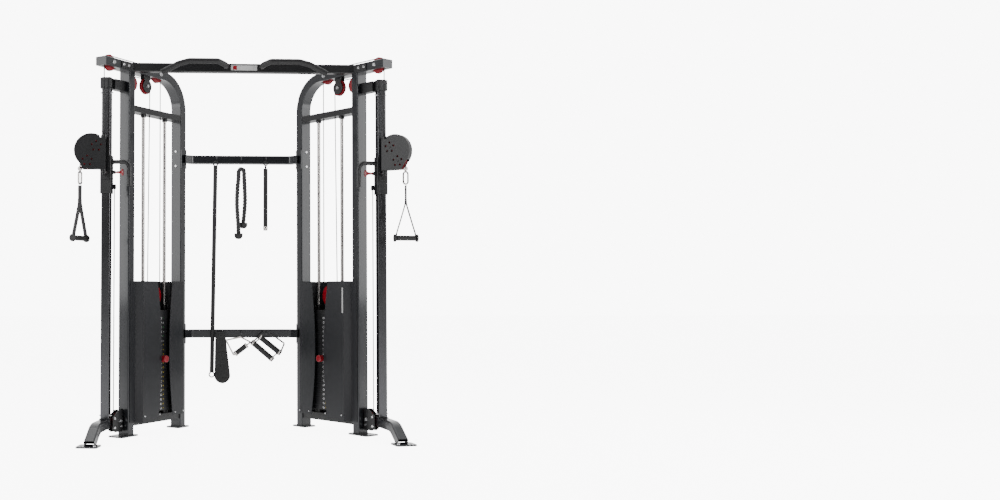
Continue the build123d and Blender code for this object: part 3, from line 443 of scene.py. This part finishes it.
# ---------------------------------------------------------------- triceps rope
HOOK_Y = 0.3792
ROPE_R, ROPE_END_R, ROPE_END_H = 0.014, 0.026, 0.036
rope_route = [
    (-0.018, HOOK_Y - 0.020, 1.166), (-0.020, HOOK_Y - 0.019, 1.240),
    (-0.028, HOOK_Y - 0.013, 1.330), (-0.025, HOOK_Y - 0.007, 1.430),
    (-0.0165, HOOK_Y - 0.002, 1.505), (-0.0165, HOOK_Y - 0.001, 1.557),
    (0.0165, HOOK_Y + 0.001, 1.557), (0.0165, HOOK_Y + 0.002, 1.505),
    (0.022, HOOK_Y + 0.005, 1.420), (0.023, HOOK_Y + 0.008, 1.330),
    (0.012, HOOK_Y + 0.012, 1.232),
]


def nurbs_line(name, route):
    """Points along a smooth NURBS line through the route's control points."""
    data = bpy.data.curves.new(name, "CURVE")
    data.dimensions = "3D"
    data.resolution_u = 24
    spline = data.splines.new("NURBS")
    spline.points.add(len(route) - 1)
    for point, place in zip(spline.points, route):
        point.co = (*place, 1)
    spline.order_u = 3
    spline.use_endpoint_u = True
    holder = bpy.data.objects.new(name, data)
    bpy.context.scene.collection.objects.link(holder)
    bpy.context.view_layer.update()
    mesh = bpy.data.meshes.new_from_object(holder)
    points = [v.co.copy() for v in mesh.vertices]
    bpy.data.objects.remove(holder)
    return points


rope_line = nurbs_line("rope_route", rope_route)
STRANDS, STRAND_R, LAY_LENGTH = 3, 0.0074, 0.060
strands = []
for number in range(STRANDS):
    direction = (rope_line[1] - rope_line[0]).normalized()
    first, _ = side_vectors(direction)
    run, path = 0.0, []
    for i, point in enumerate(rope_line):
        after, before = rope_line[min(i + 1, len(rope_line) - 1)], rope_line[max(i - 1, 0)]
        ahead = (after - before).normalized()
        first = (first - ahead * first.dot(ahead)).normalized()
        second = ahead.cross(first)
        run += (point - rope_line[i - 1]).length if i else 0.0
        turn = 2 * math.pi * (run / LAY_LENGTH + number / STRANDS)
        out = first * math.cos(turn) + second * math.sin(turn)
        path.append(point + out * (ROPE_R - STRAND_R))
    strands.append(tube_mesh(path, STRAND_R, 12))
verts, faces = merged(strands)
rope = piece("triceps_rope_strands", verts, faces, ROPE, "root")
# an end cup's outline, as shares of its radius and height
CUP = [(0.0, 0.0), (0.80, 0.0), (0.95, 0.04), (1.0, 0.12), (1.0, 0.30), (0.95, 0.52),
       (0.84, 0.72), (0.65, 0.88), (0.38, 0.97), (0.0, 1.0)]
CUP_PORE = 0.0004
for label, tip in (("a", rope_route[0]), ("b", rope_route[-1])):
    profile = [(max(wide * ROPE_END_R, CUP_PORE), high * ROPE_END_H) for wide, high in CUP]
    verts, faces = lathe_mesh(Vector(tip), Vector((0, 0, -1)), profile, 40)
    piece(f"rope_cup_{label}", verts, faces, FINISH["black_rubber"], "root")
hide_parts("triceps_rope")

# ---------------------------------------------------------------- grips of the hung handles
RIB_PITCH = 0.007
# distance out from the core and place along the grip
RIB = [(0.0012, -0.0026), (0.0022, -0.0012), (0.0022, 0.0012), (0.0012, 0.0026)]
FERRULE = [(-0.001, -0.012), (0.0024, -0.011), (0.0030, -0.006), (0.0024, 0.0), (-0.001, 0.0)]


def grip_sleeve(name, start, end, core, trim):
    """A ribbed rubber sleeve over a handle's bar, between two chrome ferrules."""
    start, end = Vector(start), Vector(end)
    axis = (end - start).normalized()
    length = (end - start).length - 2 * trim
    foot = start + axis * trim
    ribs = int(length / RIB_PITCH)
    profile = [(core, 0.0)]
    for k in range(ribs):
        at_rib = (k + 0.5) * length / ribs
        profile += [(core + out, at_rib + shift) for out, shift in RIB]
    profile += [(core, length)]
    verts, faces = lathe_mesh(foot, axis, profile, 36)
    piece(name, verts, faces, FINISH["black_rubber"], "root")
    ferrule = [(core + out, shift) for out, shift in FERRULE]
    ends = [lathe_mesh(foot, axis, ferrule, 36),
            lathe_mesh(foot + axis * length, axis * -1, ferrule, 36)]
    verts, faces = merged(ends)
    piece(f"{name}_ferrules", verts, faces, FINISH["rod_chrome"], "root")


SHORT_BAR_END = (0.146, HOOK_Y, 1.184)
END_CLIP = [(0.0004, 0.0), (0.0112, 0.0), (0.0126, 0.0015), (0.0126, 0.0085),
            (0.0139, 0.0100), (0.0142, 0.0150), (0.0142, 0.0230), (0.0136, 0.0240)]
verts, faces = lathe_mesh(Vector(SHORT_BAR_END), UP, END_CLIP, 36)
piece("short_bar_clip", verts, faces, FINISH["rod_chrome"], "root")

ROW_Y = HOOK_Y - 0.026
ROW_CORE, ROW_TRIM, STIRRUP_CORE, STIRRUP_TRIM = 0.0148, 0.018, 0.0138, 0.013
grip_sleeve("row_grip_a", (0.060, ROW_Y, 0.516), (0.190, ROW_Y, 0.404), ROW_CORE, ROW_TRIM)
grip_sleeve("row_grip_b", (0.104, ROW_Y, 0.548), (0.236, ROW_Y, 0.442), ROW_CORE, ROW_TRIM)
grip_sleeve("stirrup_grip", (-0.0399, HOOK_Y, 0.4367), (0.0356, HOOK_Y, 0.4944),
            STIRRUP_CORE, STIRRUP_TRIM)

# ---------------------------------------------------------------- ankle strap
PAD_TOP_WIDTH, PAD_FOOT_WIDTH = 0.060, 0.096
PAD_SIDES, PAD_THICK = 0.262, 0.015
PAD_LENGTH = PAD_SIDES + PAD_FOOT_WIDTH / 2 - 0.001
low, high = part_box("ankle_strap")
pad_down = Vector((0.05, 0, -1)).normalized()
pad_across = Vector((-pad_down.z, 0, pad_down.x))
pad_out = Vector((0, -1, 0))
pad_middle_y = (low.y + high.y) / 2
pad_top = Vector((-0.128, pad_middle_y, 0.5735))
rings, around = 60, 48
verts, faces = [], []
for i in range(rings + 1):
    v = i / rings
    reach = v * PAD_LENGTH
    taper = min(reach / PAD_SIDES, 1.0)
    side = (PAD_TOP_WIDTH + (PAD_FOOT_WIDTH - PAD_TOP_WIDTH) * taper) / 2
    foot = max(0.0, reach - PAD_SIDES) / (PAD_LENGTH - PAD_SIDES)
    top_round = 1 - 0.35 * max(0.0, 1 - reach / 0.014) ** 2
    ends = max(0.0, 1 - abs(2 * v - 1) ** 14) ** 0.5
    half = side * max(0.03, 1 - foot ** 2) ** 0.5 * top_round - 0.0005
    deep = PAD_THICK / 2 * (0.14 + 0.86 * ends)
    for k in range(around):
        turn = 2 * math.pi * k / around
        c, s = math.cos(turn), math.sin(turn)
        u = math.copysign(abs(c) ** 0.75, c)
        edge_seam = 0.28 * math.exp(-((abs(u) - 0.72) / 0.05) ** 2)
        cross_seam = 0.22 * math.exp(-((v * 4 % 1 - 0.5) / 0.04) ** 2)
        seam = 1 - edge_seam - cross_seam
        ripple = 1 + 0.05 * math.sin(21 * v + 3 * u)
        height = math.copysign(abs(s) ** 0.6, s) * seam * ripple * 0.94
        verts.append(pad_top + pad_down * (v * PAD_LENGTH) + pad_across * (u * half)
                     + pad_out * (height * deep))
for i in range(rings):
    for k in range(around):
        a, b = i * around + k, i * around + (k + 1) % around
        faces.append((a, b, b + around, a + around))
faces += [tuple(range(around)), tuple(rings * around + k for k in range(around))]
pad = piece("ankle_pad", verts, faces, FINISH["pad_fabric"], "root")
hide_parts("ankle_strap")

# ---------------------------------------------------------------- numbers on the plates
STACK_FLOOR, PLATE_PITCH, PLATE_HEIGHT = 0.124, 0.0261, 0.0254
PLATE_COUNT, SELECTED = 21, 11
PLATE_FACE = 0.0575
LABEL_ALONG, LABEL_LIFT, LABEL_SIZE = 0.020, 0.0004, 0.013
TOP_COLOURED = 6
BUSH_RING = [(0.0042, 0.0), (0.0042, 0.0008), (0.0050, 0.0012), (0.0066, 0.0012),
             (0.0072, 0.0004), (0.0072, 0.0)]


def number_mesh(text, size):
    """Flat vertices and faces of a number, centred, in its own plane."""
    data = bpy.data.curves.new("number", "FONT")
    data.body = text
    data.size = size
    data.align_x = "CENTER"
    data.align_y = "CENTER"
    holder = bpy.data.objects.new("number", data)
    bpy.context.scene.collection.objects.link(holder)
    bpy.context.view_layer.update()
    mesh = bpy.data.meshes.new_from_object(holder)
    shape = [v.co.copy() for v in mesh.vertices], [tuple(p.vertices) for p in mesh.polygons]
    bpy.data.objects.remove(holder)
    return shape


for side in SIDES:
    origin, along, inner = tower_frame(side)
    reading = UP.cross(inner).normalized()
    piles = (("root", range(SELECTED)), (f"{side}_stack", range(SELECTED, PLATE_COUNT)))
    for body, levels in piles:
        group = "resting" if body == "root" else "lifted"
        digits = {"white": [], "green": [], "yellow": []}
        bushes = []
        for level in levels:
            z = STACK_FLOOR + level * PLATE_PITCH + PLATE_HEIGHT / 2
            face = origin + inner * PLATE_FACE + UP * z
            if level != SELECTED:
                bushes.append(lathe_mesh(face, inner, BUSH_RING, 24))
            from_top = PLATE_COUNT - level
            colour = "green" if from_top % 2 else "white"
            if from_top > TOP_COLOURED:
                colour = "yellow"
            centre = face + inner * LABEL_LIFT + reading * LABEL_ALONG
            shape, shape_faces = number_mesh(str(from_top), LABEL_SIZE)
            placed = [centre + reading * p.x + UP * p.y for p in shape]
            digits[colour].append((placed, shape_faces))
        for colour, shapes in digits.items():
            if shapes:
                verts, faces = merged(shapes)
                piece(f"{side}_{group}_numbers_{colour}", verts, faces, LABEL[colour], body,
                      smooth=False)
        verts, faces = merged(bushes)
        piece(f"{side}_{group}_bushes", verts, faces, FINISH["bright_steel"], body)

# ---------------------------------------------------------------- generic trim
BEAM_Y, BEAM_SECTION, BEAM_TOP = 0.0172, 0.050, 2.120
PLAQUE_SIZE, MARK_SIZE, STRIPE_SIZE = (
    (0.150, 0.030, 0.0010), (0.022, 0.022, 0.0008), (0.011, 0.145, 0.0008))
MARK_SHIFT = Vector((-0.052, -0.0007, 0))
TRIM_LIFT = 0.0006
beam_front = BEAM_Y - BEAM_SECTION / 2
beam_z = BEAM_TOP - BEAM_SECTION / 2
plate = Vector((0, beam_front - TRIM_LIFT, beam_z))
verts, faces = slab_mesh(plate, ACROSS, UP, *PLAQUE_SIZE)
piece("beam_plaque", verts, faces, LABEL["white"], "root", smooth=False)
verts, faces = slab_mesh(plate + MARK_SHIFT, ACROSS, UP, *MARK_SIZE)
piece("beam_plaque_mark", verts, faces, FINISH["red_plastic"], "root", smooth=False)

origin, along, inner = tower_frame("right")
SHROUD_FACE, STRIPE_ALONG, STRIPE_Z = 0.0815, 0.186, 0.765
stripe_centre = (origin + inner * (SHROUD_FACE + TRIM_LIFT) - along * STRIPE_ALONG
                 + UP * STRIPE_Z)
verts, faces = slab_mesh(stripe_centre, along, UP, *STRIPE_SIZE)
piece("shroud_stripe", verts, faces, LABEL["white"], "root", smooth=False)

# ---------------------------------------------------------------- floor, light, camera
FLOOR_LIGHT, FLOOR_SEEN, BACKDROP_SEEN = 0.7, 8.0, 9.0
WORLD_FRONT, WORLD_BEHIND = 0.10, 1.6
FLOOR_SIZE = 60
bpy.ops.mesh.primitive_plane_add(size=FLOOR_SIZE, location=(0, 0, 0))
floor = bpy.context.object
floor.name = "floor"
floor_paint = surface("floor_pale", (0.86, 0.86, 0.86), 0.6, spread=0.01, bump=0.0,
                      edge=0.0, smudge=1)
floor_nodes, floor_links = floor_paint.node_tree.nodes, floor_paint.node_tree.links
floor_shader = floor_nodes["Principled BSDF"]
floor_seen = floor_nodes.new("ShaderNodeLightPath")
floor_glow = floor_nodes.new("ShaderNodeMix")
floor_glow.inputs["A"].default_value = FLOOR_LIGHT
floor_glow.inputs["B"].default_value = FLOOR_SEEN
floor_links.new(floor_seen.outputs["Is Camera Ray"], floor_glow.inputs["Factor"])
floor_links.new(floor_glow.outputs["Result"], floor_shader.inputs["Emission Strength"])
floor_shader.inputs["Emission Color"].default_value = (1, 1, 1, 1)
floor.data.materials.append(floor_paint)

world = bpy.data.worlds.new("studio")
bpy.context.scene.world = world
world.use_nodes = True
sky, sky_links = world.node_tree.nodes, world.node_tree.links
way = sky.new("ShaderNodeTexCoord")
parts = sky.new("ShaderNodeSeparateXYZ")
sky_links.new(way.outputs["Generated"], parts.inputs["Vector"])
wall = sky.new("ShaderNodeMapRange")
wall.interpolation_type = "SMOOTHSTEP"
wall.inputs["From Min"].default_value = -0.15
wall.inputs["From Max"].default_value = 0.75
wall.inputs["To Min"].default_value = WORLD_FRONT
wall.inputs["To Max"].default_value = WORLD_BEHIND
sky_links.new(parts.outputs["Y"], wall.inputs["Value"])
seen = sky.new("ShaderNodeLightPath")
shown = sky.new("ShaderNodeMix")
shown.inputs["B"].default_value = BACKDROP_SEEN
sky_links.new(seen.outputs["Is Camera Ray"], shown.inputs["Factor"])
sky_links.new(wall.outputs["Result"], shown.inputs["A"])
sky["Background"].inputs["Color"].default_value = (1, 1, 1, 1)
sky_links.new(shown.outputs["Result"], sky["Background"].inputs["Strength"])


def area_light(name, place, aim, size, power):
    data = bpy.data.lights.new(name, "AREA")
    data.shape = "RECTANGLE"
    data.size, data.size_y = size
    data.energy = power
    lamp = bpy.data.objects.new(name, data)
    bpy.context.scene.collection.objects.link(lamp)
    lamp.location = place
    lamp.rotation_euler = (Vector(aim) - Vector(place)).to_track_quat("-Z", "Y").to_euler()


area_light("key", (-3.6, -3.4, 3.6), (0, 0, 1.1), (1.2, 3.0), 120)
area_light("fill", (3.8, -3.0, 2.8), (0, 0, 1.1), (1.2, 3.0), 105)
area_light("top", (0, 0.5, 4.8), (0, 0, 0), (4.0, 3.0), 80)
for name, side_x in (("left_side", -4.6), ("right_side", 4.6)):
    area_light(name, (side_x, -1.0, 2.1), (0, 0, 1.4), (1.6, 2.8), 55)

CAMERA_PLACE = (-0.2546, -6.1144, 0.8157)
CAMERA_TILT_DEG, CAMERA_TURN_DEG = 92.206, -2.707
CAMERA_LENS, CAMERA_SENSOR, CAMERA_SHIFT = 38.69, 36, 0.25
camera_data = bpy.data.cameras.new("camera")
camera_data.lens = CAMERA_LENS
camera_data.sensor_width = CAMERA_SENSOR
camera_data.shift_x = CAMERA_SHIFT
camera = bpy.data.objects.new("camera", camera_data)
bpy.context.scene.collection.objects.link(camera)
camera.location = CAMERA_PLACE
camera.rotation_euler = (math.radians(CAMERA_TILT_DEG), 0, math.radians(CAMERA_TURN_DEG))
bpy.context.scene.camera = camera
